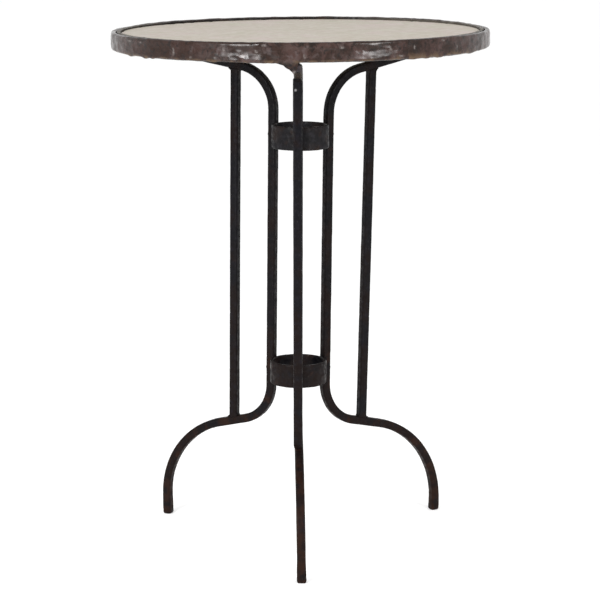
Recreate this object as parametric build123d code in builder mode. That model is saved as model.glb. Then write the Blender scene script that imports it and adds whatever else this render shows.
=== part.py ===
from build123d import *
from dataclasses import dataclass
import math
import os

# Bistro table: a round stone top set in a hoop of angle iron, edged with a folded metal band, on
# three legs of square bar. Each leg is one bar, bent from the rim inwards and down to a slim stem,
# and out again to the floor. Two rings hold the stems, and a straight strut joins each arm to the
# leg below it. Millimetres, +Z up, the floor at Z = 0 and the origin under the middle of the top.
# The work is hand made, so every leg has its own small departures from the pattern, and the arms'
# ends differ in height by a few millimetres, so the top leans very slightly.

# ---- the top: heights are above the tray's underside, which rests on the arms ----
REST_HEIGHT = 714.0  # the middle of the tray's underside above the floor
REST_RISE_X = 0.0073  # its rise per millimetre towards +X and +Y
REST_RISE_Y = -0.003

TOP_RADIUS = 267.0

BAND_SHEET = 1.4  # folded edge band
BAND_BOTTOM = 1.4
BAND_TOP = 27.0
BAND_LIP_RADIUS = 259.4
BAND_LIP_DEPTH = 7.0
BAND_ROLL = 3.4
HEM_ROLL = 2.5
FOLD_GAP = 0.2  # between the band and the hoop it is folded round
TORN_TONGUE = (  # where the hem has torn beside the front arm and hangs down
    (-33.0, 2.0),
    (-30.8, -0.1),
    (-24.3, -3.8),
    (-21.0, -7.1),
    (-17.8, -10.2),
    (-9.3, -15.4),
    (-8.5, -11.8),
    (-4.5, -8.3),
    (-2.5, 2.0),
)
TONGUE_REACH = 260.2

TRAY_THICKNESS = 4.0  # angle-iron hoop that carries the slab
TRAY_INNER_RADIUS = 226.0
TRAY_OUTER_RADIUS = 258.4
TRAY_WALL = 5.0
TRAY_TOP = 26.4
TRAY_EDGE = 0.9

BEDDING_THICKNESS = 1.0
BEDDING_MARGIN = 3.0

SLAB_TOP = 23.6
SLAB_CLEARANCE = 0.8
SLAB_EDGE = 1.5

# ---- the iron ----
BAR = 12.0  # square bar of the legs and struts
BAR_CORNER = 2.0
FOOT_ROUND = 3.0
END_ROUND = 2.5

RING_RADIUS = 40.8
RING_THICKNESS = 4.0
RING_HEIGHT = 33.0
RING_EDGE = 0.8
RING_SEAT = 0.5  # how deep a stem beds into a ring
UPPER_RING_Z = 588.5
LOWER_RING_Z = 245.5
UPPER_RING_CENTRE = Vector(-0.1, 0)
LOWER_RING_CENTRE = Vector(-2.8, 0)

ARM_END_REACH = 206.0  # from the neck to the end of the arm, in plan
ARM_LEVEL_RUN = 12.0  # the level tip that is riveted under the tray
ARM_RIVET_INSET = 7.0
ARM_LEVEL_BEND = 30.0
ARM_DRESSING = 0.2  # filed off the level tip, so that it meets the leaning tray flat

STRUT_BITE = 1.8  # how far a strut is scribed into the bar it meets
INNER_WELD_LEG = 4.4  # on the stem's side of a strut
OUTER_WELD_LEG = 3.0
WELD_LENGTH = 11.0

SHANK_RADIUS = 2.5
HOLE_CLEARANCE = 0.05
HEAD_RADIUS = 4.6
HEAD_HEIGHT = 2.4
TAIL_RADIUS = 4.0
TAIL_HEIGHT = 1.6


@dataclass
class Leg:
    """One leg. Distances in plan run outwards from the stem, along the leg's facing."""

    facing: float  # azimuth of the leg's own plane
    upper_aside: float  # stem's sideways offset where it passes the upper ring
    lower_aside: float  # and the lower ring
    neck_z: float  # corner between stem and arm
    neck_bend: float
    waist_z: float  # corner between stem and shoulder
    waist_bend: float
    knee_reach: float  # corner between shoulder and foot
    knee_z: float
    knee_bend: float
    knee_aside: float
    toe_in: float
    strut_high: float  # distances of the strut's ends from the stem
    strut_low: float
    strut_aside: float = 0.0  # how far the strut stands out of the leg's plane
    arm_aside: float = 0.0  # how far the arm and the foot stray from it by their ends
    foot_aside: float = 0.0


TOP = Plane(
    origin=(0, 0, REST_HEIGHT), x_dir=(1, 0, REST_RISE_X), z_dir=(-REST_RISE_X, -REST_RISE_Y, 1)
)
TOP_AXIS = Axis(TOP.origin, TOP.z_dir)
TOP_SECTION = Plane(origin=TOP.origin, x_dir=TOP.x_dir, z_dir=TOP.y_dir * -1)  # its Y is the top's up

LEGS = {
    "front": Leg(
        -89.1, -3.2, -0.9, 671.5, 61, 172.0, 59, 188.6, 126, 128, 0.2, 3.5, 67, 63, -1.3, -4.1, 1.7
    ),
    "left": Leg(152.0, -4.4, -3.2, 676.0, 62, 174.8, 57, 180.7, 129, 124, 1.9, 3.2, 62.3, 61.8),
    "right": Leg(31.0, -1.2, 1.2, 670.2, 64, 171.6, 62, 201.1, 124, 133, 0.3, 5.0, 71.4, 64.4),
}


def outwards(leg):
    angle = math.radians(leg.facing)
    return Vector(math.cos(angle), math.sin(angle))


def sideways(leg):
    angle = math.radians(leg.facing)
    return Vector(-math.sin(angle), math.cos(angle))


def beside_ring(leg, centre, aside, z):
    """Centre of the stem where its inner face beds into a ring."""
    point = centre + outwards(leg) * (RING_RADIUS - RING_SEAT + BAR / 2) + sideways(leg) * aside
    return Vector(point.X, point.Y, z)


def stem_at(leg, z):
    """Centre of the stem at a height, on the straight line through its two ring seats."""
    low = beside_ring(leg, LOWER_RING_CENTRE, leg.lower_aside, LOWER_RING_Z)
    high = beside_ring(leg, UPPER_RING_CENTRE, leg.upper_aside, UPPER_RING_Z)
    return low + (high - low) * ((z - LOWER_RING_Z) / (UPPER_RING_Z - LOWER_RING_Z))


def arm_point(leg, distance, below_tray=0.0):
    """A point along the arm in plan, below the level of the tray's underside at the arm's end."""
    neck = stem_at(leg, leg.neck_z)
    whole = outwards(leg) * ARM_END_REACH + sideways(leg) * leg.arm_aside
    end = neck + whole
    point = neck + whole * (distance / ARM_END_REACH)
    rest = REST_HEIGHT + REST_RISE_X * end.X + REST_RISE_Y * end.Y
    return Vector(point.X, point.Y, rest - below_tray)


def leg_points(leg):
    """Corners of the bar's centreline, from below the floor up to the tip of the arm."""
    waist = stem_at(leg, leg.waist_z)
    neck = stem_at(leg, leg.neck_z)
    knee = waist + outwards(leg) * leg.knee_reach + sideways(leg) * leg.knee_aside
    knee = Vector(knee.X, knee.Y, leg.knee_z)
    foot = knee - outwards(leg) * leg.toe_in + sideways(leg) * leg.foot_aside
    foot = Vector(foot.X, foot.Y, 0)
    below = foot + (foot - knee).normalized() * BAR / 2
    to_axis = BAR / 2 - ARM_DRESSING
    level = arm_point(leg, ARM_END_REACH - ARM_LEVEL_RUN, to_axis)
    tip = arm_point(leg, ARM_END_REACH, to_axis)
    return [below, knee, waist, neck, level, tip]


def arm_rivet_plane(leg, below_tray):
    """Square to the tray, on the axis of the rivet in the arm's end."""
    over = TOP.to_local_coords(arm_point(leg, ARM_END_REACH - ARM_RIVET_INSET))
    seat = TOP.from_local_coords(Vector(over.X, over.Y, -below_tray))
    return Plane(origin=seat, x_dir=TOP.x_dir, z_dir=TOP.z_dir)


def strut_ends(leg):
    """Where the strut's axis meets the shoulder's top and the arm's underside."""
    _, knee, waist, neck, level, _ = leg_points(leg)
    ends = []
    for start, end, distance, side in (
        (waist, knee, leg.strut_low, 1),
        (neck, level, leg.strut_high, -1),
    ):
        run = end - start
        plan = math.hypot(run.X, run.Y)
        on_axis = start + run * (distance / plan) + sideways(leg) * leg.strut_aside
        half_bar = BAR / 2 * run.length / plan
        ends.append(Vector(on_axis.X, on_axis.Y, on_axis.Z + side * half_bar))
    return ends


# ---- legs ----
def make_leg(leg):
    points = leg_points(leg)
    with BuildLine() as centreline:
        FilletPolyline(
            *points, radius=[leg.knee_bend, leg.waist_bend, leg.neck_bend, ARM_LEVEL_BEND]
        )
    start = Plane(origin=points[0], x_dir=outwards(leg), z_dir=centreline.line % 0)
    with BuildPart() as bar:
        with BuildSketch(start):
            RectangleRounded(BAR, BAR, BAR_CORNER)
        sweep(path=centreline.line)
        tip = bar.faces().sort_by(Axis(points[-1], outwards(leg)))[-1]
        fillet(tip.edges(), END_ROUND)
        split(bisect_by=Plane.XY, keep=Keep.TOP)
        split(bisect_by=TOP, keep=Keep.BOTTOM)
        sole = bar.faces().sort_by(Axis.Z)[0]
        fillet(sole.edges(), FOOT_ROUND)
        for ring_z in (LOWER_RING_Z, UPPER_RING_Z):
            with BuildSketch(Plane(origin=stem_at(leg, ring_z), z_dir=outwards(leg))):
                Circle(SHANK_RADIUS + HOLE_CLEARANCE)
            extrude(amount=BAR, both=True, mode=Mode.SUBTRACT)
        with BuildSketch(arm_rivet_plane(leg, BAR / 2)):
            Circle(SHANK_RADIUS + HOLE_CLEARANCE)
        extrude(amount=BAR, both=True, mode=Mode.SUBTRACT)
    return bar.part


leg_bars = {name: make_leg(leg) for name, leg in LEGS.items()}


# ---- struts ----
def make_strut(name, leg):
    low, high = strut_ends(leg)
    axis = (high - low).normalized()
    start = Plane(origin=low - axis * STRUT_BITE, x_dir=outwards(leg), z_dir=axis)
    with BuildPart() as strut:
        with BuildSketch(start):
            RectangleRounded(BAR, BAR, BAR_CORNER)
        extrude(amount=(high - low).length + 2 * STRUT_BITE)
        add(leg_bars[name], mode=Mode.SUBTRACT)
    return strut.part


struts = {name: make_strut(name, leg) for name, leg in LEGS.items()}


def make_welds(end, side):
    """A hollow fillet of weld inside and outside one end of each strut."""
    with BuildPart() as welds:
        for leg in LEGS.values():
            low, high = strut_ends(leg)
            axis = (high - low).normalized() * side
            for direction, weld_leg in ((1, OUTER_WELD_LEG), (-1, INNER_WELD_LEG)):
                out = outwards(leg) * direction
                corner = (low, high)[end] + out * (BAR / 2)
                plane = Plane(origin=corner, x_dir=out, z_dir=out.cross(axis))
                with BuildSketch(plane):
                    with BuildLine():
                        Polyline(
                            (0, weld_leg),
                            (-STRUT_BITE, weld_leg),
                            (-STRUT_BITE, -STRUT_BITE),
                            (weld_leg, -STRUT_BITE),
                            (weld_leg, 0),
                        )
                        RadiusArc((weld_leg, 0), (0, weld_leg), weld_leg)
                    make_face()
                extrude(amount=WELD_LENGTH / 2, both=True)
        for name in LEGS:
            add(leg_bars[name], mode=Mode.SUBTRACT)
            add(struts[name], mode=Mode.SUBTRACT)
    return welds.part


strut_foot_welds = make_welds(0, 1)
strut_top_welds = make_welds(1, -1)


# ---- rings that hold the stems ----
def make_ring(centre, middle_z):
    with BuildPart() as ring:
        with BuildSketch(Plane.XY.offset(middle_z - RING_HEIGHT / 2)):
            with Locations((centre.X, centre.Y)):
                Circle(RING_RADIUS)
                Circle(RING_RADIUS - RING_THICKNESS, mode=Mode.SUBTRACT)
        extrude(amount=RING_HEIGHT)
        fillet(ring.edges().filter_by(GeomType.CIRCLE), RING_EDGE)
        for name, leg in LEGS.items():
            add(leg_bars[name], mode=Mode.SUBTRACT)
            with BuildSketch(Plane(origin=stem_at(leg, middle_z), z_dir=outwards(leg) * -1)):
                Circle(SHANK_RADIUS + HOLE_CLEARANCE)
            extrude(amount=2 * BAR, mode=Mode.SUBTRACT)
    return ring.part


upper_ring = make_ring(UPPER_RING_CENTRE, UPPER_RING_Z)
lower_ring = make_ring(LOWER_RING_CENTRE, LOWER_RING_Z)


# ---- rivets ----
def dome_middle(radius, height):
    """Middle of a spherical cap's profile, as (distance below the crown, radius)."""
    sphere = (radius**2 + height**2) / (2 * height)
    half_angle = math.asin(radius / sphere) / 2
    return sphere * (1 - math.cos(half_angle)), sphere * math.sin(half_angle)


def rivet_outline(grip, tail_radius, tail_height):
    """Half section along +X: dome head below zero, shank to the grip, then the closed tail."""
    head_drop, head_middle = dome_middle(HEAD_RADIUS, HEAD_HEIGHT)
    tail_drop, tail_middle = dome_middle(tail_radius, tail_height)
    crown = grip + tail_height
    with BuildLine() as outline:
        Line((-HEAD_HEIGHT, 0), (crown, 0))
        ThreePointArc((crown, 0), (crown - tail_drop, tail_middle), (grip, tail_radius))
        Polyline((grip, tail_radius), (grip, SHANK_RADIUS), (0, SHANK_RADIUS), (0, HEAD_RADIUS))
        ThreePointArc((0, HEAD_RADIUS), (head_drop - HEAD_HEIGHT, head_middle), (-HEAD_HEIGHT, 0))
    return outline.edges()


def make_ring_rivets(ring, centre, middle_z):
    """One rivet through each stem into the ring, headed over on the ring's inner side."""
    with BuildPart() as rivets:
        for leg in LEGS.values():
            out = outwards(leg)
            stem = stem_at(leg, middle_z)
            head_seat = stem + out * (BAR / 2)
            aside = (stem - centre).dot(sideways(leg))
            wall = math.sqrt((RING_RADIUS - RING_THICKNESS) ** 2 - aside**2)
            grip = (stem - centre).dot(out) + BAR / 2 - wall
            with BuildSketch(Plane(origin=head_seat, x_dir=out * -1, z_dir=sideways(leg))):
                make_face(rivet_outline(grip, TAIL_RADIUS, TAIL_HEIGHT))
            revolve(axis=Axis(head_seat, out * -1))
        add(ring, mode=Mode.SUBTRACT)
        for bar in leg_bars.values():
            add(bar, mode=Mode.SUBTRACT)
    return rivets.part


upper_ring_rivets = make_ring_rivets(upper_ring, UPPER_RING_CENTRE, UPPER_RING_Z)
lower_ring_rivets = make_ring_rivets(lower_ring, LOWER_RING_CENTRE, LOWER_RING_Z)

# Countersunk rivets hold the tray down on the arms, flush on top so that the slab lies flat.
COUNTERSINK_RADIUS = 4.8
COUNTERSINK_DEPTH = COUNTERSINK_RADIUS - SHANK_RADIUS
ARM_GRIP = BAR - ARM_DRESSING + TRAY_THICKNESS

with BuildPart() as arm_rivets:
    for leg in LEGS.values():
        under_arm = arm_rivet_plane(leg, BAR - ARM_DRESSING)
        with BuildSketch(Plane(origin=under_arm.origin, x_dir=TOP.z_dir, z_dir=TOP.y_dir)):
            with BuildLine():
                Polyline(
                    (-HEAD_HEIGHT, 0),
                    (ARM_GRIP, 0),
                    (ARM_GRIP, COUNTERSINK_RADIUS),
                    (ARM_GRIP - COUNTERSINK_DEPTH, SHANK_RADIUS),
                    (0, SHANK_RADIUS),
                    (0, HEAD_RADIUS),
                )
                drop, middle = dome_middle(HEAD_RADIUS, HEAD_HEIGHT)
                ThreePointArc((0, HEAD_RADIUS), (drop - HEAD_HEIGHT, middle), (-HEAD_HEIGHT, 0))
            make_face()
        revolve(axis=Axis(under_arm.origin, TOP.z_dir))
    for bar in leg_bars.values():
        add(bar, mode=Mode.SUBTRACT)

# ---- angle-iron hoop ----
with BuildPart() as tray_ring:
    with BuildSketch(TOP_SECTION):
        with BuildLine():
            Polyline(
                (TRAY_INNER_RADIUS, 0),
                (TRAY_OUTER_RADIUS, 0),
                (TRAY_OUTER_RADIUS, TRAY_TOP),
                (TRAY_OUTER_RADIUS - TRAY_WALL, TRAY_TOP),
                (TRAY_OUTER_RADIUS - TRAY_WALL, TRAY_THICKNESS),
                (TRAY_INNER_RADIUS, TRAY_THICKNESS),
                close=True,
            )
        make_face()
    revolve(axis=TOP_AXIS)
    fillet(tray_ring.edges().group_by(TOP_AXIS)[-1], TRAY_EDGE)
    for leg in LEGS.values():
        with Locations(arm_rivet_plane(leg, -TRAY_THICKNESS)):
            CounterSinkHole(
                radius=SHANK_RADIUS + HOLE_CLEARANCE,
                counter_sink_radius=COUNTERSINK_RADIUS + HOLE_CLEARANCE,
                depth=2 * TRAY_THICKNESS,
                counter_sink_angle=90,
            )

# ---- bedding and slab ----
SLAB_RADIUS = TRAY_OUTER_RADIUS - TRAY_WALL - SLAB_CLEARANCE
SLAB_UNDERSIDE = TRAY_THICKNESS + BEDDING_THICKNESS

with BuildPart() as bedding:
    with BuildSketch(TOP.offset(TRAY_THICKNESS)):
        Circle(SLAB_RADIUS - BEDDING_MARGIN)
        Circle(TRAY_INNER_RADIUS + BEDDING_MARGIN, mode=Mode.SUBTRACT)
    extrude(amount=BEDDING_THICKNESS)

with BuildPart() as stone_top:
    with BuildSketch(TOP.offset(SLAB_UNDERSIDE)):
        Circle(SLAB_RADIUS)
    extrude(amount=SLAB_TOP - SLAB_UNDERSIDE)
    fillet(stone_top.edges().sort_by(TOP_AXIS)[-1], SLAB_EDGE)
    chamfer(stone_top.edges().sort_by(TOP_AXIS)[0], SLAB_EDGE / 2)

# ---- edge band and the hoop inside it ----
HOOP_INNER_RADIUS = BAND_LIP_RADIUS + BAND_SHEET + FOLD_GAP
HOOP_OUTER_RADIUS = TOP_RADIUS - BAND_SHEET - FOLD_GAP
HOOP_BOTTOM = BAND_BOTTOM + BAND_SHEET + FOLD_GAP
HOOP_TOP = BAND_TOP - BAND_SHEET - FOLD_GAP

with BuildPart() as backing_hoop:
    with BuildSketch(TOP_SECTION):
        with BuildLine():
            Polyline(
                (HOOP_INNER_RADIUS, HOOP_BOTTOM),
                (HOOP_OUTER_RADIUS, HOOP_BOTTOM),
                (HOOP_OUTER_RADIUS, HOOP_TOP),
                (HOOP_INNER_RADIUS, HOOP_TOP),
                close=True,
            )
        make_face()
    revolve(axis=TOP_AXIS)
    fillet(backing_hoop.edges().group_by(TOP_AXIS)[-1], BAND_ROLL - BAND_SHEET)
    fillet(backing_hoop.edges().group_by(TOP_AXIS)[0], HEM_ROLL - BAND_SHEET)


def section_corner(section, radius, height):
    """The section's corner at a radius and height, in the sketch's own plane."""
    return section.vertices().sort_by_distance((radius, height))[0]


with BuildPart() as edge_band:
    with BuildSketch(TOP_SECTION) as folded:
        with BuildLine():
            Polyline(
                (BAND_LIP_RADIUS, BAND_BOTTOM),
                (TOP_RADIUS, BAND_BOTTOM),
                (TOP_RADIUS, BAND_TOP),
                (BAND_LIP_RADIUS, BAND_TOP),
                (BAND_LIP_RADIUS, BAND_TOP - BAND_LIP_DEPTH),
                (BAND_LIP_RADIUS + BAND_SHEET, BAND_TOP - BAND_LIP_DEPTH),
                (BAND_LIP_RADIUS + BAND_SHEET, BAND_TOP - BAND_SHEET),
                (TOP_RADIUS - BAND_SHEET, BAND_TOP - BAND_SHEET),
                (TOP_RADIUS - BAND_SHEET, BAND_BOTTOM + BAND_SHEET),
                (BAND_LIP_RADIUS, BAND_BOTTOM + BAND_SHEET),
                close=True,
            )
        make_face()
        fillet(section_corner(folded, TOP_RADIUS, BAND_TOP), BAND_ROLL)
        fillet(section_corner(folded, BAND_LIP_RADIUS, BAND_TOP), BAND_ROLL)
        fillet(section_corner(folded, TOP_RADIUS, BAND_BOTTOM), HEM_ROLL)
        fillet(
            section_corner(folded, TOP_RADIUS - BAND_SHEET, BAND_TOP - BAND_SHEET),
            BAND_ROLL - BAND_SHEET,
        )
        fillet(
            section_corner(folded, BAND_LIP_RADIUS + BAND_SHEET, BAND_TOP - BAND_SHEET),
            BAND_ROLL - BAND_SHEET,
        )
        fillet(
            section_corner(folded, TOP_RADIUS - BAND_SHEET, BAND_BOTTOM + BAND_SHEET),
            HEM_ROLL - BAND_SHEET,
        )
    revolve(axis=TOP_AXIS)
    with BuildSketch(TOP_SECTION.offset(TONGUE_REACH)):
        with BuildLine():
            Polyline(*TORN_TONGUE, close=True)
        make_face()
    extrude(amount=BAND_SHEET)

# ---- write every piece ----
pieces = {
    "stone_top": stone_top.part,
    "bedding": bedding.part,
    "tray_ring": tray_ring.part,
    "backing_hoop": backing_hoop.part,
    "edge_band": edge_band.part,
    "upper_ring": upper_ring,
    "lower_ring": lower_ring,
    "upper_ring_rivets": upper_ring_rivets,
    "lower_ring_rivets": lower_ring_rivets,
    "arm_rivets": arm_rivets.part,
    "strut_top_welds": strut_top_welds,
    "strut_foot_welds": strut_foot_welds,
}
for name in LEGS:
    pieces[f"{name}_leg"] = leg_bars[name]
    pieces[f"{name}_strut"] = struts[name]

os.makedirs("parts", exist_ok=True)
for name, piece in pieces.items():
    piece.label = name
    export_step(piece, f"parts/{name}.step")
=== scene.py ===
import math

import bmesh
import bpy
from mathutils import Matrix, Vector, noise


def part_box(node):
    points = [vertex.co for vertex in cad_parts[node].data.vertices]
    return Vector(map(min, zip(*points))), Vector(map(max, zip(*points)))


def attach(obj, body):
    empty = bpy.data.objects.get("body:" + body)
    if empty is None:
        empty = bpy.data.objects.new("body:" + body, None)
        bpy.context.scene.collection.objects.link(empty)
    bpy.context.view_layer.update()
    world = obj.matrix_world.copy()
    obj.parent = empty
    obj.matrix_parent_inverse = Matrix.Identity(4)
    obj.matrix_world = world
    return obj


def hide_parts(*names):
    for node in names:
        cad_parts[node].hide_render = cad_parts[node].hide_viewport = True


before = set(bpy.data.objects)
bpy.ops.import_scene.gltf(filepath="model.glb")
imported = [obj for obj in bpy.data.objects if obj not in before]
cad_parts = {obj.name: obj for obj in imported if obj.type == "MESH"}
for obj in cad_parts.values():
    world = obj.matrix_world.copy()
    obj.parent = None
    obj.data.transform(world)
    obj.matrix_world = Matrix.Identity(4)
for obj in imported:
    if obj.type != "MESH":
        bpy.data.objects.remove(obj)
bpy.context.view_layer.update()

# The visual model of a bistro table. Everything is in metres, in the frame of the CAD model, with
# +Z up and the front leg towards -Y. The iron is made from copies of the CAD nodes, remeshed finely
# enough to carry forging marks. The edge band, the tray and the slab are turned from outlines whose
# main sizes are read from the nodes they replace.

BODY = "root"
MM = 0.001
SPECK_VERTICES = 100  # a loose part of a remeshed piece with fewer vertices than this is dropped


# ---------------------------------------------------------------- noise in millimetres
def lumps(point, size, seed=0.0):
    """Smooth noise from about -1 to 1, with lumps of about the size given in millimetres."""
    return noise.noise(point / (size * MM) + Vector((seed, 1.7 * seed, -seed)))


def long_lumps(point, along, high, seed=0.0):
    """The same, for lumps that are longer round the table than they are high."""
    stretched = Vector((point.x / along, point.y / along, point.z / high)) / MM
    return noise.noise(stretched + Vector((seed, -seed, 2.3 * seed)))


def hammered(point, size, seed=0.0, flat=1.0):
    """Shallow bowls that meet in ridges: 0 in the middle of a bowl and about 1 on a ridge.

    The bowls are as long as the size given, in millimetres, and lower by the factor flat.
    """
    cell = Vector((point.x, point.y, point.z * flat)) / (size * MM) + Vector((seed, seed, seed))
    nearest = noise.voronoi(cell)[0][0]
    return min(nearest * nearest * 1.6, 1.0)


def ease(value, low, high):
    """Rises smoothly from 0 at low to 1 at high."""
    t = min(max((value - low) / (high - low), 0.0), 1.0)
    return t * t * (3 - 2 * t)


# ---------------------------------------------------------------- material nodes
class Paint:
    """A procedural material: one Principled shader, with short calls for the nodes that feed it."""

    def __init__(self, name, **constants):
        self.material = bpy.data.materials.new(name)
        self.material.use_nodes = True
        self.nodes = self.material.node_tree.nodes
        self.links = self.material.node_tree.links
        self.shader = self.nodes["Principled BSDF"]
        for socket, value in constants.items():
            self.shader.inputs[socket.replace("_", " ")].default_value = value
        self.place = self.nodes.new("ShaderNodeTexCoord").outputs["Object"]

    def feed(self, socket, value):
        """Links a socket to another node's output, or sets it to a constant."""
        if isinstance(value, bpy.types.NodeSocket):
            self.links.new(value, socket)
        else:
            socket.default_value = value

    def stretched(self, x, y, z):
        """The object's coordinates, scaled along each axis."""
        node = self.nodes.new("ShaderNodeMapping")
        self.feed(node.inputs["Vector"], self.place)
        node.inputs["Scale"].default_value = (x, y, z)
        return node.outputs["Vector"]

    def noise(self, size, detail=3.0, rough=0.55, warp=0.0, place=None):
        """Noise from 0 to 1, with features of about the size given in millimetres."""
        node = self.nodes.new("ShaderNodeTexNoise")
        self.feed(node.inputs["Vector"], place or self.place)
        node.inputs["Scale"].default_value = 1 / (size * MM)
        node.inputs["Detail"].default_value = detail
        node.inputs["Roughness"].default_value = rough
        node.inputs["Distortion"].default_value = warp
        return node.outputs["Fac"]

    def cells(self, size):
        """Distance from the nearest of scattered points, about the size given apart, in millimetres."""
        node = self.nodes.new("ShaderNodeTexVoronoi")
        self.feed(node.inputs["Vector"], self.place)
        node.inputs["Scale"].default_value = 1 / (size * MM)
        return node.outputs["Distance"]

    def between(self, value, low, high, start=0.0, end=1.0):
        """Takes low..high to start..end, smoothly, and holds it there outside."""
        node = self.nodes.new("ShaderNodeMapRange")
        node.interpolation_type = "SMOOTHSTEP"
        self.feed(node.inputs["Value"], value)
        for socket, number in zip(("From Min", "From Max", "To Min", "To Max"), (low, high, start, end)):
            node.inputs[socket].default_value = number
        return node.outputs["Result"]

    def maths(self, operation, a, b):
        """One Math node: an operation on two values."""
        node = self.nodes.new("ShaderNodeMath")
        node.operation = operation
        self.feed(node.inputs[0], a)
        self.feed(node.inputs[1], b)
        return node.outputs["Value"]

    def mix(self, factor, a, b):
        """Colour a where factor is 0 and colour b where it is 1."""
        node = self.nodes.new("ShaderNodeMix")
        node.data_type = "RGBA"
        self.feed(node.inputs["Factor"], factor)
        for socket, colour in ((node.inputs[6], a), (node.inputs[7], b)):
            self.feed(socket, colour if isinstance(colour, bpy.types.NodeSocket) else (*colour, 1.0))
        return node.outputs[2]

    def height(self):
        """How high a point is above the floor, in metres."""
        node = self.nodes.new("ShaderNodeSeparateXYZ")
        self.feed(node.inputs["Vector"], self.place)
        return node.outputs["Z"]

    def edges(self, low, high):
        """1 on outer corners, by the mesh's own curvature, and 0 on flats and inner corners."""
        node = self.nodes.new("ShaderNodeNewGeometry")
        return self.between(node.outputs["Pointiness"], low, high)

    def painted(self, attribute):
        """A value that the mesh carries on its vertices."""
        node = self.nodes.new("ShaderNodeAttribute")
        node.attribute_name = attribute
        return node.outputs["Fac"]

    def relief(self, height, depth, onto=None):
        """Bump of a depth in millimetres, laid over another bump if one is given."""
        node = self.nodes.new("ShaderNodeBump")
        node.inputs["Distance"].default_value = depth * MM
        self.feed(node.inputs["Height"], height)
        if onto:
            self.feed(node.inputs["Normal"], onto)
        return node.outputs["Normal"]

    def finish(self, colour, roughness, normal):
        """Feeds the shader and returns the material."""
        self.feed(self.shader.inputs["Base Color"], colour)
        self.feed(self.shader.inputs["Roughness"], roughness)
        self.feed(self.shader.inputs["Normal"], normal)
        return self.material


# ---------------------------------------------------------------- materials
def stone_material():
    """Honed cream stone with soft clouds, flecks and a few pits; its underside is sawn and darker."""
    paint = Paint("cream_stone", Specular_IOR_Level=0.35)
    cream = (0.392, 0.344, 0.276)
    pinkish = (0.420, 0.344, 0.304)
    olive = (0.358, 0.338, 0.246)
    pale = (0.450, 0.404, 0.340)
    grain_brown = (0.33, 0.28, 0.20)
    pit_brown = (0.16, 0.12, 0.08)
    sawn_brown = (0.20, 0.17, 0.13)
    clouds = paint.between(paint.noise(70, 4, 0.55, 0.6), 0.42, 0.68)
    patches = paint.between(paint.noise(34, 5, 0.6, 0.9), 0.50, 0.72)
    flecks = paint.between(paint.noise(7, 4, 0.65), 0.56, 0.70)
    grain = paint.noise(1.6, 3, 0.7)
    pits = paint.between(paint.cells(5.5), 0.06, 0.15, 1.0, 0.0)
    sparse = paint.between(paint.noise(16, 2), 0.56, 0.62)
    pits = paint.maths("MULTIPLY", pits, sparse)
    colour = paint.mix(clouds, cream, pinkish)
    colour = paint.mix(patches, colour, olive)
    colour = paint.mix(paint.maths("MULTIPLY", flecks, 0.6), colour, pale)
    colour = paint.mix(paint.between(grain, 0.35, 0.7, 0.0, 0.16), colour, grain_brown)
    colour = paint.mix(paint.maths("MULTIPLY", pits, 0.55), colour, pit_brown)
    colour = paint.mix(paint.maths("MULTIPLY", paint.painted("sawn"), 0.65), colour, sawn_brown)
    roughness = paint.between(paint.noise(12, 4, 0.6), 0.3, 0.7, 0.34, 0.5)
    normal = paint.relief(grain, 0.05)
    normal = paint.relief(paint.maths("SUBTRACT", 1.0, pits), 0.25, normal)
    return paint.finish(colour, roughness, normal)


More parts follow.
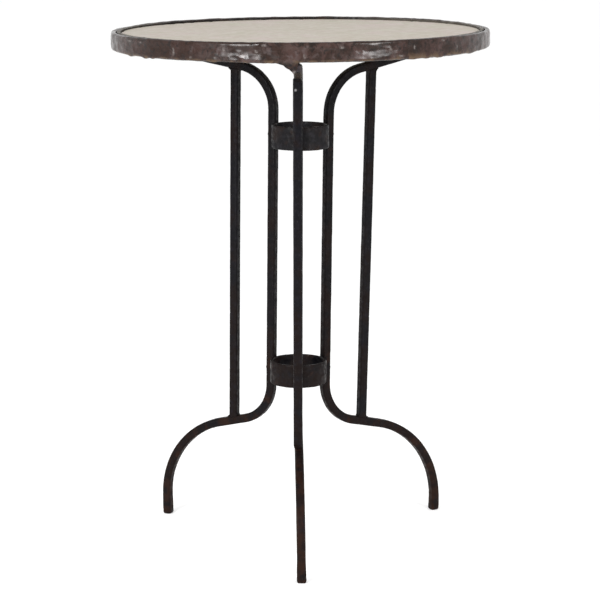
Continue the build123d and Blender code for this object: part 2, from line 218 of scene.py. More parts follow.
def edge_metal_material():
    """Hammered sheet with a brown and plum patina, dusty in places, worn where the mesh is marked, with
    painted highlights near the top of its wall.
    """
    paint = Paint("hammered_edge_metal", Specular_IOR_Level=0.27)
    brown = (0.0140, 0.0056, 0.0032)
    plum = (0.0375, 0.0190, 0.0160)
    dust_and_sheen = (0.0660, 0.0490, 0.0480)
    dark = (0.0040, 0.0018, 0.0013)
    tan = (0.0900, 0.0560, 0.0300)
    red_brown = (0.0165, 0.0052, 0.0022)
    torn_dark = (0.0024, 0.0004, 0.0002)
    torn_maroon = (0.0170, 0.0056, 0.0028)
    knock_and_highlight_grey = (0.150, 0.132, 0.124)
    bare_grey = (0.105, 0.092, 0.088)
    clouds = paint.between(paint.noise(30, 4, 0.6, 0.4), 0.42, 0.60)
    bloom = paint.between(paint.noise(15, 4, 0.6, 0.5), 0.54, 0.70)
    grime = paint.between(paint.noise(8, 5, 0.65, 0.8), 0.49, 0.63)
    flecks = paint.between(paint.noise(2.6, 4, 0.7), 0.58, 0.74)
    fine_grain = paint.between(paint.noise(1, 4, 0.6, 0.4, paint.stretched(60, 60, 420)), 0.56, 0.74)
    colour = paint.mix(clouds, brown, plum)
    colour = paint.mix(paint.painted("browned"), colour, red_brown)
    colour = paint.mix(paint.maths("MULTIPLY", bloom, 0.6), colour, dust_and_sheen)
    colour = paint.mix(paint.maths("MULTIPLY", grime, 0.8), colour, dark)
    colour = paint.mix(paint.maths("MULTIPLY", fine_grain, 0.25), colour, tan)
    colour = paint.mix(paint.maths("MULTIPLY", flecks, 0.45), colour, dust_and_sheen)
    colour = paint.mix(paint.maths("MULTIPLY", paint.edges(0.515, 0.57), 0.2), colour, dust_and_sheen)
    hem = paint.maths("MULTIPLY", paint.painted("hem"), paint.between(paint.noise(11, 4), 0.42, 0.60))
    colour = paint.mix(paint.maths("MULTIPLY", hem, 0.75), colour, tan)
    maroon = paint.mix(paint.between(paint.noise(4, 4), 0.45, 0.62), torn_dark, torn_maroon)
    colour = paint.mix(paint.painted("torn"), colour, maroon)
    # Knocks rubbed light, and painted highlights, in pale grey where the mesh is marked.
    broken = paint.between(paint.noise(2.2, 4, 0.65), 0.38, 0.60)
    knocks_and_highlights = paint.maths("MULTIPLY", paint.painted("knocked_and_highlit"), broken)
    colour = paint.mix(paint.maths("MULTIPLY", knocks_and_highlights, 0.85), colour, knock_and_highlight_grey)
    colour = paint.mix(paint.painted("bare"), colour, bare_grey)
    dull = paint.maths("MULTIPLY", paint.painted("browned"), 0.35)
    dull = paint.maths("MAXIMUM", dull, paint.painted("torn"))
    roughness = paint.between(paint.noise(12, 4, 0.6), 0.34, 0.66, 0.14, 0.34)
    roughness = paint.maths("ADD", roughness, paint.maths("MULTIPLY", dull, 0.45))
    normal = paint.relief(paint.noise(5, 3, 0.5), 0.06)
    normal = paint.relief(paint.noise(1.0, 3, 0.6), 0.012, normal)
    return paint.finish(colour, roughness, normal)


IRONS = {  # each iron's black, its brown, its rust, and how much of it has rusted
    "leg_iron": ((0.0018, 0.0014, 0.0020), (0.0052, 0.0018, 0.0012), (0.0168, 0.0058, 0.0025), 0.02),
    "strut_iron": ((0.0021, 0.0019, 0.0030), (0.0044, 0.0018, 0.0014), (0.0120, 0.0056, 0.0038), -0.04),
    "upper_ring_iron": ((0.0050, 0.0046, 0.0056), (0.0115, 0.0072, 0.0062), (0.0200, 0.0110, 0.0078), 0.04),
    "lower_ring_iron": ((0.0019, 0.0017, 0.0024), (0.0062, 0.0028, 0.0021), (0.0160, 0.0076, 0.0054), 0.02),
    "tray_iron": ((0.0060, 0.0046, 0.0042), (0.0110, 0.0070, 0.0050), (0.0240, 0.0135, 0.0085), 0.08),
    "hoop_iron": ((0.0100, 0.0080, 0.0070), (0.0180, 0.0110, 0.0080), (0.0300, 0.0170, 0.0110), 0.10),
}
SCALE_LIGHTER = 3.6  # how much lighter the mill scale is than the black round it


def iron_material(name):
    """Blackened wrought iron, brown in places: browner low down, and rustier near the floor."""
    black, brown, rust, rust_share = IRONS[name]
    grey_scale = tuple(SCALE_LIGHTER * channel for channel in black)
    speck_grey = (0.044, 0.038, 0.036)
    worn_grey = (0.026, 0.022, 0.021)
    dust_and_sheen_grey = (0.125, 0.112, 0.094)
    underside_rust = (0.024, 0.0135, 0.0065)
    rubbed_and_highlight_grey = (0.058, 0.048, 0.052)
    chip_and_glint_grey = (0.200, 0.195, 0.200)
    paint = Paint(name, Specular_IOR_Level=0.10)
    near_floor = paint.between(paint.height(), 0.0, 0.30, 0.18, 0.0)
    low_down = paint.between(paint.height(), 0.18, 0.56, 0.10, -0.07)
    browned = paint.between(paint.maths("ADD", paint.noise(40, 3, 0.5), low_down), 0.42, 0.60)
    scale = paint.between(paint.noise(7, 5, 0.72), 0.47, 0.66)
    specks = paint.between(paint.noise(2.6, 4, 0.75), 0.58, 0.72)
    rusty = paint.maths("ADD", paint.noise(17, 4, 0.6, 0.2), near_floor)
    rusty = paint.between(rusty, 0.60 - rust_share, 0.76 - rust_share)
    worn = paint.edges(0.52, 0.60)
    colour = paint.mix(browned, black, brown)
    colour = paint.mix(paint.maths("MULTIPLY", scale, 0.55), colour, grey_scale)
    colour = paint.mix(paint.maths("MULTIPLY", rusty, 0.75), colour, rust)
    colour = paint.mix(paint.maths("MULTIPLY", specks, 0.42), colour, speck_grey)
    colour = paint.mix(paint.maths("MULTIPLY", worn, 0.4), colour, worn_grey)
    # Where the mesh is marked: dust, and a painted sheen on the tray's top at both sides.
    colour = paint.mix(paint.painted("dust_and_sheen"), colour, dust_and_sheen_grey)
    colour = paint.mix(paint.painted("rusted"), colour, underside_rust)
    # The arm's end rubbed bare, with a painted highlight; the strut's chip, painted bright as a glint.
    colour = paint.mix(paint.painted("rubbed_and_highlit"), colour, rubbed_and_highlight_grey)
    colour = paint.mix(paint.painted("chipped_and_glinting"), colour, chip_and_glint_grey)
    roughness = paint.between(paint.noise(6, 4, 0.6), 0.36, 0.62, 0.28, 0.68)
    normal = paint.relief(paint.noise(4.5, 4, 0.6), 0.22)
    normal = paint.relief(paint.noise(1.1, 3, 0.65), 0.09, normal)
    return paint.finish(colour, roughness, normal)


def putty_material():
    """Dry, pale putty, mottled and rough."""
    paint = Paint("dry_putty", Specular_IOR_Level=0.2)
    colour = paint.mix(paint.noise(9, 4), (0.42, 0.39, 0.33), (0.26, 0.23, 0.18))
    roughness = paint.between(paint.noise(3, 3), 0.3, 0.7, 0.75, 0.95)
    return paint.finish(colour, roughness, paint.relief(paint.noise(1.5, 4), 0.3))


# ---------------------------------------------------------------- pieces
def add_piece(name, mesh, material, slot, *stands_for):
    """Puts a finished mesh in the scene, riding on the table, in place of the CAD nodes named."""
    piece = bpy.data.objects.new(name, mesh)
    bpy.context.scene.collection.objects.link(piece)
    mesh.materials.clear()
    mesh.materials.append(material)
    mesh.shade_smooth()
    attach(piece, BODY)
    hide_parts(*stands_for)


def even_mesh(node, voxel, smoothing):
    """A softened copy of a CAD node's mesh, in even faces of about the voxel's size in millimetres."""
    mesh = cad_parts[node].data.copy()
    welded = bmesh.new()
    welded.from_mesh(mesh)
    bmesh.ops.remove_doubles(welded, verts=welded.verts, dist=0.001 * MM)
    welded.to_mesh(mesh)
    welded.free()
    rough = bpy.data.objects.new(node + "_copy", mesh)
    bpy.context.scene.collection.objects.link(rough)
    remesh = rough.modifiers.new("even", "REMESH")
    remesh.mode = "VOXEL"
    remesh.voxel_size = voxel * MM
    soften = rough.modifiers.new("soften", "SMOOTH")
    soften.factor = 0.5
    soften.iterations = smoothing
    ready = rough.evaluated_get(bpy.context.evaluated_depsgraph_get())
    even = bpy.data.meshes.new_from_object(ready)
    bpy.data.objects.remove(rough)
    bpy.data.meshes.remove(mesh)
    drop_specks(even)
    return even


def drop_specks(mesh):
    """Deletes the loose specks, under a millimetre, that remeshing leaves at a piece's thin ends."""
    whole = bmesh.new()
    whole.from_mesh(mesh)
    seen = set()
    specks = []
    for start in whole.verts:
        if start in seen:
            continue
        seen.add(start)
        island = [start]
        for vertex in island:
            around = [edge.other_vert(vertex) for edge in vertex.link_edges]
            fresh = [other for other in around if other not in seen]
            seen.update(fresh)
            island += fresh
        if len(island) < SPECK_VERTICES:
            specks += island
    bmesh.ops.delete(whole, geom=specks, context="VERTS")
    whole.to_mesh(mesh)
    whole.free()


def push_out(mesh, distance):
    """Moves every vertex along its normal, by distance(point) in millimetres."""
    normals = [vertex.normal.copy() for vertex in mesh.vertices]
    for vertex, normal in zip(mesh.vertices, normals):
        vertex.co = vertex.co + normal * (distance(vertex.co) * MM)
        vertex.co.z = max(vertex.co.z, 0.0)
    mesh.update()


# ---------------------------------------------------------------- forged iron
BAR_VOXEL = 1.0  # in millimetres, for bars and rings
BEAD_VOXEL = 0.5  # in millimetres, for welds and rivets
ROUNDED_END = (-0.0044, 0.7035)  # x and z of the middle of the hammered rounding on the front arm's end
ROUNDING = (7.4 * MM, 8.2 * MM)  # its radius across and its radius up
ARM_END = 0.2490  # how far forward the front arm's end face is
TIP_UNDERSIDE = 0.7010  # the underside of the arm's level tip
STRUT_CHIP_GLINT = Vector((-0.0066, -0.1192, 0.6656))  # a chip near the top of the front strut, painted bright as a glint


def bar_surface(point):
    """Forging marks and scale on the legs and struts, and the battered ends of the feet."""
    forged = 0.16 * lumps(point, 26) + 0.10 * lumps(point, 8, 5) + 0.20
    pitted = -0.30 * ease(lumps(point, 3.4, 9), 0.35, 0.8)
    battered = 0.40 * lumps(point, 5, 13) * (1 - ease(point.z, 0.004, 0.016))
    spread = 0.35 * (1 - ease(point.z, 0.008, 0.035))
    return forged + pitted + battered + spread


def round_arm_end(mesh):
    """Rounds the front arm's upper right corner along its level tip, fading out further in."""
    middle_x, middle_z = ROUNDED_END
    across, up = ROUNDING
    for vertex in mesh.vertices:
        right = (vertex.co.x - middle_x) / across
        high = (vertex.co.z - middle_z) / up
        beyond = math.hypot(right, high)
        if right <= 0 or high <= 0 or beyond <= 1:
            continue
        near_end = ease(-vertex.co.y, ARM_END - 89 * MM, ARM_END - 49 * MM)
        kept = 1 + (1 / beyond - 1) * near_end
        vertex.co.x = middle_x + right * kept * across
        vertex.co.z = middle_z + high * kept * up
    mesh.update()


def ring_surface(point):
    """Forging marks on the two flat-bar rings."""
    return 0.26 * lumps(point, 15, 3) + 0.12 * lumps(point, 5, 7) + 0.1


def bead_surface(point):
    """The ripples of a hand-run weld bead."""
    return 0.40 * lumps(point, 2.6, 11) + 0.20 * lumps(point, 1.2, 4) + 0.15


def head_surface(point):
    """Hammer facets on the rivets' heads."""
    return 0.16 * lumps(point, 2.4, 8) - 0.12 * hammered(point, 3.0, 2) + 0.05


def mark_arm_end(mesh):
    """Marks the front arm: its end rubbed bare and painted light as a highlight, rust along its underside,
    and a chip in its strut painted bright as a glint.
    """
    names = ("rubbed_and_highlit", "rusted", "chipped_and_glinting")
    for name in names:
        mesh.attributes.new(name, "FLOAT", "POINT")
    marks = {name: mesh.attributes[name].data for name in names}
    for index, vertex in enumerate(mesh.vertices):
        point = vertex.co
        if point.z < 0.66 or point.y > -0.09:
            continue
        patchy = 0.7 + 0.5 * lumps(point, 4, 51)
        above = ease(point.z, TIP_UNDERSIDE, TIP_UNDERSIDE + 2.5 * MM)
        end_face = ease(-point.y, ARM_END - 1.5 * MM, ARM_END)
        outer_part = ease(-point.y, ARM_END - 119 * MM, ARM_END - 99 * MM)
        chip_glint_distance = (point - STRUT_CHIP_GLINT).length
        marks["rubbed_and_highlit"][index].value = end_face * above * patchy
        marks["rusted"][index].value = outer_part * (1 - above) * patchy
        marks["chipped_and_glinting"][index].value = 1 - ease(chip_glint_distance, 0.9 * MM, 2.2 * MM)


def make_bars():
    """Makes the legs and struts. Returns the legs' iron, which the welds share."""
    bar_irons = {kind: iron_material(f"{kind}_iron") for kind in ("leg", "strut")}
    for side in ("front", "left", "right"):
        for kind, material in bar_irons.items():
            node = f"{side}_{kind}"
            mesh = even_mesh(node, BAR_VOXEL, 2)
            push_out(mesh, bar_surface)
            if side == "front":
                round_arm_end(mesh)
                mark_arm_end(mesh)
            add_piece(f"{node}_forged", mesh, material, f"{kind}_iron", node)
    return bar_irons["leg"]


def make_rings():
    """Makes the two rings. Returns the lower ring's iron, which the rivets share."""
    ring_irons = {level: iron_material(f"{level}_ring_iron") for level in ("upper", "lower")}
    for level, material in ring_irons.items():
        mesh = even_mesh(f"{level}_ring", BAR_VOXEL, 2)
        push_out(mesh, ring_surface)
        add_piece(f"{level}_ring_forged", mesh, material, "ring_iron", f"{level}_ring")
    return ring_irons["lower"]


def make_welds(iron):
    for node in ("strut_top_welds", "strut_foot_welds"):
        mesh = even_mesh(node, BEAD_VOXEL, 4)
        push_out(mesh, bead_surface)
        add_piece(f"{node}_beads", mesh, iron, "weld_iron", node)


def make_rivets(iron):
    for node in ("upper_ring_rivets", "lower_ring_rivets", "arm_rivets"):
        mesh = even_mesh(node, BEAD_VOXEL, 2)
        push_out(mesh, head_surface)
        add_piece(f"{node}_hammered", mesh, iron, "rivet_iron", node)


# ---------------------------------------------------------------- the top's own frame
def top_matrix():
    """The frame of the top, which leans slightly: on its axis, with the tray's underside at zero."""
    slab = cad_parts["stone_top"].data
    up = max(slab.polygons, key=lambda face: face.area * face.normal.z).normal.normalized()
    low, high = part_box("stone_top")
    middle = (low + high) / 2
    foot = min((vertex.co - middle).dot(up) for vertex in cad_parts["tray_ring"].data.vertices)
    across = Vector((0, 1, 0)).cross(up).normalized()
    turn = Matrix((across, up.cross(across), up)).transposed().to_4x4()
    return Matrix.Translation(middle + up * foot) @ turn


TOP = top_matrix()


def measure(node):
    """A CAD node's lowest and highest points and its outer radius, in the top's own frame."""
    points = [TOP.inverted() @ vertex.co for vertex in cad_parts[node].data.vertices]
    heights = [point.z for point in points]
    return min(heights), max(heights), max(math.hypot(point.x, point.y) for point in points)


# ---------------------------------------------------------------- turned pieces
def arc(centre, radius, start, end, steps):
    """Points of an arc in a section, each with its outward direction, angles in degrees."""
    points = []
    for step in range(steps + 1):
        angle = math.radians(start + (end - start) * step / steps)
        out = Vector((math.cos(angle), math.sin(angle)))
        points.append((Vector(centre) + out * radius, out))
    return points


def run(start, end, out, steps):
    """Points between the ends of a straight stretch, leaving the ends themselves out."""
    start, end = Vector(start), Vector(end)
    return [(start.lerp(end, step / steps), Vector(out)) for step in range(1, steps)]


def turned_mesh(name, section, angles, shape, marks=(), solid=False):
    """Turns a section round the top's axis, then leans it with the top.

    shape(point, out, index) gives each vertex, in the top's own frame, from a point of the section
    turned to one of the angles. marks are pairs of a name and a function of the vertex, whose values
    the material reads. A section closes on itself, unless it is solid: then its ends meet the axis.
    """
    mesh = bpy.data.meshes.new(name)
    rows = len(section)
    vertices = []
    for angle in angles:
        facing = Vector((math.cos(angle), math.sin(angle), 0))
        for index, (flat, flat_out) in enumerate(section):
            point = facing * flat.x + Vector((0, 0, flat.y))
            out = facing * flat_out.x + Vector((0, 0, flat_out.y))
            vertices.append(shape(point, out, index))
    faces = []
    columns = len(angles)
    for column in range(columns):
        here = column * rows
        there = (column + 1) % columns * rows
        for row in range(rows - 1 if solid else rows):
            above = (row + 1) % rows
            faces.append((here + row, there + row, there + above, here + above))
    if solid:
        for row, (flat, flat_out) in ((0, section[0]), (rows - 1, section[-1])):
            middle = shape(Vector((0, 0, flat.y)), Vector((0, 0, flat_out.y)), row)
            vertices.append(middle)
            for column in range(columns):
                here = column * rows
                there = (column + 1) % columns * rows
                faces.append((here + row, there + row, len(vertices) - 1))
    mesh.from_pydata(vertices, [], faces)
    for mark, value_at in marks:
        layer = mesh.attributes.new(mark, "FLOAT", "POINT")
        for point, value in zip(vertices, layer.data):
            value.value = value_at(point)
    mesh.transform(TOP)
    fix_normals(mesh)
    return mesh


def fix_normals(mesh):
    """Turns every face outwards."""
    facing = bmesh.new()
    facing.from_mesh(mesh)
    bmesh.ops.recalc_face_normals(facing, faces=facing.faces)
    facing.to_mesh(mesh)
    facing.free()


def even_angles(count):
    """Angles at even steps all the way round, in radians."""
    return [2 * math.pi * step / count for step in range(count)]


def facing_of(point):
    """Which way a point of the top faces, in degrees from the front towards +X."""
    return math.degrees(math.atan2(point.x, -point.y))


# ---------------------------------------------------------------- edge band
_, BAND_TOP, BAND_RADIUS = measure("edge_band")
BAND_BOTTOM = BAND_TOP - 25.6 * MM  # the hem, above its nubs and the torn tongue
BAND_STEPS = 1040
FINER = 4  # how many times finer the steps are past the torn tongue
SHEET = 1.4 * MM  # the sheet's thickness
LIP_RADIUS = BAND_RADIUS - 7.6 * MM
LIP_DEPTH = 7 * MM
ROLL = 3.4 * MM
HEM = 2.5 * MM

TONGUE = (  # the torn tongue by the front arm: how far along the front, and how deep it hangs
    (-32.0, 0.0),
    (-29.5, 0.7),
    (-22.2, 2.7),
    (-18.5, 6.4),
    (-14.3, 8.4),
    (-10.8, 12.0),
    (-8.8, 15.2),
    (-7.4, 12.6),
    (-4.5, 8.6),
    (-2.5, 0.0),
)


def tongue_depth(x):
    """How far below the hem the torn tongue reaches, in metres, at a distance x along the front."""
    for (left, left_depth), (right, right_depth) in zip(TONGUE, TONGUE[1:]):
        if left * MM <= x <= right * MM:
            share = (x / MM - left) / (right - left)
            return (left_depth + (right_depth - left_depth) * share) * MM
    return 0.0


def band_face():
    """The sheet's outer face: up the lip, over the roll, down the wall, round the hem and under."""
    roll_z = BAND_TOP - ROLL
    hem_z = BAND_BOTTOM + HEM
    face = run((LIP_RADIUS, BAND_TOP - LIP_DEPTH - MM), (LIP_RADIUS, roll_z), (-1, 0), 4)
    face += arc((LIP_RADIUS + ROLL, roll_z), ROLL, 180, 90, 7)
    face += arc((BAND_RADIUS - ROLL, roll_z), ROLL, 90, 0, 7)
    face += run((BAND_RADIUS, roll_z), (BAND_RADIUS, hem_z), (1, 0), 17)
    face += arc((BAND_RADIUS - HEM, hem_z), HEM, 0, -90, 5)
    face += run((BAND_RADIUS - HEM, BAND_BOTTOM), (LIP_RADIUS - MM, BAND_BOTTOM), (0, -1), 4)
    return face


BAND_FACE = band_face()
BAND_BACK = [(point - out * SHEET, out) for point, out in reversed(BAND_FACE)][::2]


def band_dents(point):
    """How far the hammered sheet stands out of its true shape, in millimetres."""
    share = (point.z - BAND_BOTTOM) / (BAND_TOP - BAND_BOTTOM)
    facing = facing_of(point)
    at_ends = ease(abs(facing), 45, 80) * (1 - ease(abs(facing), 110, 130))
    groove = -0.75 * (1 - ease(abs(share - 0.50), 0, 0.36)) * (0.75 + 0.5 * lumps(point, 70, 17))
    groove *= 1 - 0.8 * at_ends
    crown = -1.3 * at_ends * abs(2 * share - 1) ** 3
    swell = 0.40 * long_lumps(point, 60, 24, 2)
    blows = -0.55 * (1 - hammered(point, 19, 4, 1.7))
    small_blows = -0.20 * (1 - hammered(point, 9, 9, 1.7))
    creases = 0.30 * (1 - abs(long_lumps(point, 40, 8, 6))) ** 5
    return groove + crown + swell + blows + small_blows + creases + 0.45


HEM_NUBS = (  # where the hem hangs lower: degrees from the front towards +X, drop, half width
    (-60.0, 1.6, 1.6),
    (-52.0, 1.9, 1.3),
    (-48.5, 1.2, 1.0),
    (-25.6, 1.1, 1.6),
    (-8.0, 1.5, 7.0),
    (8.5, 0.8, 2.5),
    (34.3, 1.3, 1.5),
    (39.0, 0.9, 1.0),
    (43.9, 1.4, 1.4),
    (61.0, 1.3, 1.8),
)


def hem_drop(point):
    """How far the ragged hem hangs below its true line, in millimetres."""
    facing = facing_of(point)
    nubs = sum(drop * (1 - ease(abs(facing - at), 0, 2 * width)) for at, drop, width in HEM_NUBS)
    return nubs + 0.45 * lumps(point, 19, 21) + 0.35 * lumps(point, 6, 23)


def band_vertex(point, out, index):
    """One vertex of the band: dented, with a ragged hem, and torn down by the front arm."""
    inside = index >= len(BAND_FACE)
    foot = 1 - ease(point.z, BAND_BOTTOM, BAND_BOTTOM + 5 * MM)
    lip = 1 - ease(math.hypot(point.x, point.y), LIP_RADIUS, LIP_RADIUS + 4 * MM)
    middle = point + out * SHEET if inside else point
    dent = band_dents(middle) * (1 - 0.6 * lip) * (1 - 0.5 * foot)
    moved = point + out * dent * MM
    level = Vector((middle.x, middle.y, BAND_BOTTOM))
    moved.z -= hem_drop(level) * foot * MM
    hang = tongue_depth(point.x) if point.y < 0 else 0.0
    if hang > 0:
        moved = hang_down(moved, hang)
    return moved


def hang_down(point, hang):
    """Draws the foot of the band down into the torn tongue, a single sheet that leans inwards."""
    share = 1 - ease(point.z, BAND_BOTTOM, BAND_BOTTOM + 9 * MM)
    pinch = ease(hang, 0, 3 * MM) * (1 - ease(point.z, BAND_BOTTOM + 1 * MM, BAND_BOTTOM + 4 * MM))
    radius = math.hypot(point.x, point.y)
    edge = BAND_RADIUS - 2.2 * SHEET + (radius - LIP_RADIUS) / (BAND_RADIUS - LIP_RADIUS) * SHEET
    radius += (edge - radius) * pinch
    radius -= 2.5 * MM * (share * hang / (14 * MM)) ** 2
    facing = Vector((point.x, point.y)).normalized() * radius
    return Vector((facing.x, facing.y, point.z - hang * share))


def band_angles():
    """Even steps round the band, finer past the torn tongue."""
    angles = []
    step = 2 * math.pi / BAND_STEPS
    for angle in even_angles(BAND_STEPS):
        angles.append(angle)
        x = BAND_RADIUS * math.cos(angle)
        if math.sin(angle) < 0 and -34 * MM < x < 2 * MM:
            angles += [angle + step * part / FINER for part in range(1, FINER)]
    return angles


# Light patches on the band's wall: most are knocks rubbed light, but those at -60, -53.5, -17.4 and 21.8
# degrees are painted highlights near the top of the wall.
KNOCKS_AND_HIGHLIGHTS = (  # degrees from the front towards +X, share of the band's height, half width and half height
    (-60.0, 0.76, 9.0, 0.9),
    (-53.5, 0.76, 4.0, 1.4),
    (-39.0, 0.42, 1.6, 6.0),
    (-32.7, 0.16, 2.2, 2.0),
    (-24.7, 0.18, 2.4, 1.6),
    (-22.0, 0.62, 1.8, 3.8),
    (-17.4, 0.86, 13.0, 1.5),
    (-12.4, 0.55, 2.6, 2.6),
    (-10.2, 0.86, 3.2, 1.8),
    (1.2, 0.29, 2.2, 3.4),
    (11.7, 0.73, 3.4, 2.0),
    (21.8, 0.88, 13.0, 1.2),
    (26.3, 0.55, 2.8, 3.2),
    (29.7, 0.20, 3.6, 1.6),
    (34.3, 0.59, 1.8, 3.0),
    (45.3, 0.84, 4.0, 1.6),
    (52.0, 0.40, 2.0, 4.0),
)


def knocked_and_highlit(point):
    """1 where the band's wall has been knocked and rubbed light, and where highlights near its top are
    painted on.
    """
    facing = facing_of(point)
    height = (point.z - BAND_BOTTOM) / MM
    tall = (BAND_TOP - BAND_BOTTOM) / MM
    strength = 0.0
    for at, share, half_width, half_height in KNOCKS_AND_HIGHLIGHTS:
        along = math.radians(facing - at) * BAND_RADIUS / MM / half_width
        up = (height - share * tall) / half_height
        strength = max(strength, 1 - ease(math.hypot(along, up), 0.3, 1.3))
    return strength


def bare_metal(point):
    """1 at the tip of the torn tongue, where the patina has flaked off."""
    slope = point.z - BAND_BOTTOM + 11.5 * MM + 0.9 * max(-9.5 * MM - point.x, 0)
    return 1 - ease(slope, -0.6 * MM, 0.6 * MM)


def torn_edge(point):
    """1 on the torn tongue, fading out above the hem."""
    beside_arm = ease(point.x, -34 * MM, -28 * MM) * (1 - ease(point.x, -3 * MM, 0))
    below = 1 - ease(point.z, BAND_BOTTOM - 3 * MM, BAND_BOTTOM + 2 * MM)
    return beside_arm * below if point.y < 0 else 0.0


def near_hem(point):
    """1 along the band's lower edge, fading out up the wall, further up at the front right."""
    facing = facing_of(point)
    reach = (4 + 6 * (1 - ease(abs(facing - 45), 12, 26))) * MM
    return 1 - ease(point.z, BAND_BOTTOM, BAND_BOTTOM + reach)


def browned_patina(point):
    """The stretch at the front left that has stayed brown."""
    facing = facing_of(point)
    patch = 1 - ease(abs(facing + 40), 12, 24)
    return 0.75 * patch * (0.8 + 0.4 * lumps(point, 12, 61))


def make_band():
    marks = (
        ("bare", bare_metal),
        ("hem", near_hem),
        ("torn", torn_edge),
        ("browned", browned_patina),
        ("knocked_and_highlit", knocked_and_highlit),
    )
    mesh = turned_mesh("hammered_band", BAND_FACE + BAND_BACK, band_angles(), band_vertex, marks)
    add_piece("hammered_band", mesh, edge_metal_material(), "edge_metal", "edge_band")


# ---------------------------------------------------------------- tray
TRAY_FOOT, TRAY_TOP, TRAY_RADIUS = measure("tray_ring")
TRAY_WALL = 5 * MM
TRAY_FLANGE = 4 * MM
TRAY_INNER = 226 * MM
TRAY_STEPS = 720


def tray_section():
    """Angle iron, clockwise from the inner edge of its flange, with worn corners."""
    worn = 1.0 * MM
    wall = TRAY_RADIUS - TRAY_WALL
    floor = TRAY_FOOT + TRAY_FLANGE
    section = arc((TRAY_INNER + worn, TRAY_FOOT + worn), worn, -90, -180, 3)
    section += arc((TRAY_INNER + worn, floor - worn), worn, 180, 90, 3)
    section += run((TRAY_INNER, floor), (wall, floor), (0, 1), 5)
    section += run((wall, floor), (wall, TRAY_TOP - worn), (-1, 0), 6)
    section += arc((wall + worn, TRAY_TOP - worn), worn, 180, 90, 3)
    section += run((wall + worn, TRAY_TOP), (TRAY_RADIUS - worn, TRAY_TOP), (0, 1), 3)
    section += arc((TRAY_RADIUS - worn, TRAY_TOP - worn), worn, 90, 0, 3)
    section += run((TRAY_RADIUS, TRAY_TOP - worn), (TRAY_RADIUS, TRAY_FOOT + worn), (1, 0), 6)
    section += arc((TRAY_RADIUS - worn, TRAY_FOOT + worn), worn, 0, -90, 3)
    section += run((TRAY_RADIUS, TRAY_FOOT), (TRAY_INNER, TRAY_FOOT), (0, -1), 8)
    return section


def tray_vertex(point, out, index):
    """One vertex of the tray, dressed with a hammer."""
    dressed = 0.30 * lumps(point, 14, 31) + 0.16 * lumps(point, 5, 33) - 0.15 * hammered(point, 9, 5)
    return point + out * dressed * MM


def tray_dust_and_sheen(point):
    """The tray is lighter at the back right, and on top at both sides: partly dust, partly a painted sheen.
    """
    facing = facing_of(point)
    back_right = 0.6 * (1 - ease(abs(facing - 118), 22, 50))
    beside = 1 - ease(abs(abs(facing) - 90), 25, 45)
    on_top = ease(point.z, TRAY_TOP - 1.2 * MM, TRAY_TOP - 0.5 * MM)
    return max(back_right, beside * on_top) * (0.8 + 0.4 * lumps(point, 9, 71))


def make_tray():
    marks = (("dust_and_sheen", tray_dust_and_sheen),)
    mesh = turned_mesh("tray_hoop", tray_section(), even_angles(TRAY_STEPS), tray_vertex, marks)
    add_piece("tray_hoop", mesh, iron_material("tray_iron"), "tray_iron", "tray_ring")


# ---------------------------------------------------------------- slab
SLAB_FOOT, SLAB_TOP, SLAB_RADIUS = measure("stone_top")
SLAB_EDGE = 1.6 * MM  # the arris is eased to this radius
SLAB_STEPS = 540
SLAB_CIRCLES = (0.06, 0.15, 0.26, 0.38, 0.50, 0.61, 0.71, 0.80, 0.87, 0.93, 0.97)  # shares of the radius


def slab_section():
    """The slab's half section, from near the middle of its top round its edge to its underside."""
    inner = [SLAB_RADIUS * share for share in SLAB_CIRCLES]
    section = [(Vector((radius, SLAB_TOP)), Vector((0, 1))) for radius in inner]
    section += arc((SLAB_RADIUS - SLAB_EDGE, SLAB_TOP - SLAB_EDGE), SLAB_EDGE, 90, 0, 6)
    section += run((SLAB_RADIUS, SLAB_TOP - SLAB_EDGE), (SLAB_RADIUS, SLAB_FOOT + SLAB_EDGE), (1, 0), 6)
    section += arc((SLAB_RADIUS - SLAB_EDGE, SLAB_FOOT + SLAB_EDGE), SLAB_EDGE, 0, -90, 4)
    section += [(Vector((radius, SLAB_FOOT)), Vector((0, -1))) for radius in reversed(inner)]
    return section


def slab_vertex(point, out, index):
    """Slightly uneven faces, and chips out of the top's arris."""
    flatness = 0.10 * lumps(point, 60, 41)
    radius = math.hypot(point.x, point.y)
    at_edge = ease(radius, SLAB_RADIUS - 3 * MM, SLAB_RADIUS - 1 * MM)
    at_edge *= ease(point.z, SLAB_TOP - 5 * MM, SLAB_TOP)
    chips = -1.1 * ease(lumps(point, 9, 43), 0.25, 0.7) * at_edge
    return point + out * (flatness + chips) * MM


def sawn_underside(point):
    """1 on the slab's underside, fading out just above it."""
    return 1 - ease(point.z, SLAB_FOOT + 1 * MM, SLAB_FOOT + 4 * MM)


def make_slab():
    marks = (("sawn", sawn_underside),)
    angles = even_angles(SLAB_STEPS)
    mesh = turned_mesh("stone_slab", slab_section(), angles, slab_vertex, marks, solid=True)
    add_piece("stone_slab", mesh, stone_material(), "stone", "stone_top")


# ---------------------------------------------------------------- pieces that stay as they are
def dress_hidden_nodes():
    """The backing hoop and the bedding keep their CAD meshes and get materials."""
    hoop_iron = iron_material("hoop_iron")
    for node, material in (("backing_hoop", hoop_iron), ("bedding", putty_material())):
        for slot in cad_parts[node].material_slots:
            slot.material = material


# ---------------------------------------------------------------- camera, light and floor
CAMERA_PLACE = (-0.0005, -3.185, 0.970)
CAMERA_DIP = 11.01  # degrees that it looks down
CAMERA_LENS = 134.7  # in millimetres, on a 36 mm sensor
SOFTBOXES = (  # name, azimuth, height, distance, width, how tall, and power in watts
    ("left_softbox", -34, 1.15, 2.4, 0.42, 1.0, 45),
    ("right_softbox", 41, 1.15, 2.4, 0.55, 1.0, 30),
)
LIGHT_TARGET = Vector((0, 0, 0.62))
WORLD_STRENGTH = 0.97
FLOOR_GLOW = 0.10
FLOOR_HALF = 40  # from its middle to each side


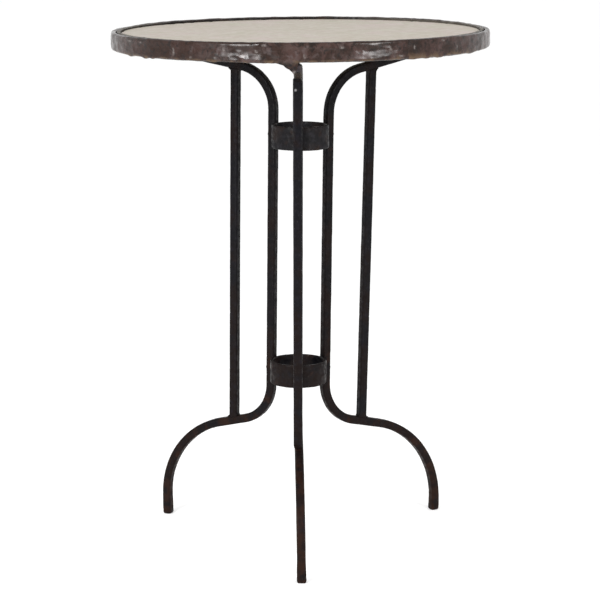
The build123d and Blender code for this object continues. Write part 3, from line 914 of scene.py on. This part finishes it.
def make_camera():
    """A long lens in front of the table, level with its top and looking slightly down."""
    camera = bpy.data.objects.new("camera", bpy.data.cameras.new("camera"))
    bpy.context.scene.collection.objects.link(camera)
    camera.location = CAMERA_PLACE
    camera.rotation_euler = (math.radians(90 - CAMERA_DIP), 0, 0)
    camera.data.lens = CAMERA_LENS
    camera.data.sensor_width = 36
    camera.data.clip_end = 100
    bpy.context.scene.camera = camera


def make_softbox(name, azimuth, height, distance, width, tall, power):
    """A rectangular light that faces the upper part of the table. Azimuth 0 is the camera's side."""
    light = bpy.data.lights.new(name, "AREA")
    light.shape = "RECTANGLE"
    light.size = width
    light.size_y = tall
    light.energy = power
    softbox = bpy.data.objects.new(name, light)
    bpy.context.scene.collection.objects.link(softbox)
    turn = math.radians(azimuth)
    softbox.location = (distance * math.sin(turn), -distance * math.cos(turn), height)
    aim = LIGHT_TARGET - softbox.location
    softbox.rotation_euler = aim.to_track_quat("-Z", "Y").to_euler()


def make_studio():
    world = bpy.data.worlds.new("studio")
    world.use_nodes = True
    background = world.node_tree.nodes["Background"]
    background.inputs["Color"].default_value = (1, 1, 1, 1)
    background.inputs["Strength"].default_value = WORLD_STRENGTH
    bpy.context.scene.world = world
    bpy.context.scene.view_settings.view_transform = "Standard"
    for softbox in SOFTBOXES:
        make_softbox(*softbox)


def make_floor():
    corners = [(FLOOR_HALF * x, FLOOR_HALF * y, 0) for x, y in ((-1, -1), (1, -1), (1, 1), (-1, 1))]
    mesh = bpy.data.meshes.new("floor")
    mesh.from_pydata(corners, [], [(0, 1, 2, 3)])
    floor = bpy.data.objects.new("floor", mesh)
    bpy.context.scene.collection.objects.link(floor)
    paint = Paint("pale_floor", Specular_IOR_Level=0.1)
    colour = paint.mix(paint.noise(400, 2), (0.95, 0.95, 0.95), (0.93, 0.93, 0.93))
    paint.shader.inputs["Emission Color"].default_value = (1, 1, 1, 1)
    paint.shader.inputs["Emission Strength"].default_value = FLOOR_GLOW
    mesh.materials.append(paint.finish(colour, 0.9, paint.relief(paint.noise(30, 2), 0.02)))


make_camera()
make_studio()
make_floor()
leg_iron = make_bars()
lower_ring_iron = make_rings()
make_welds(leg_iron)
make_rivets(lower_ring_iron)
make_band()
make_tray()
make_slab()
dress_hidden_nodes()
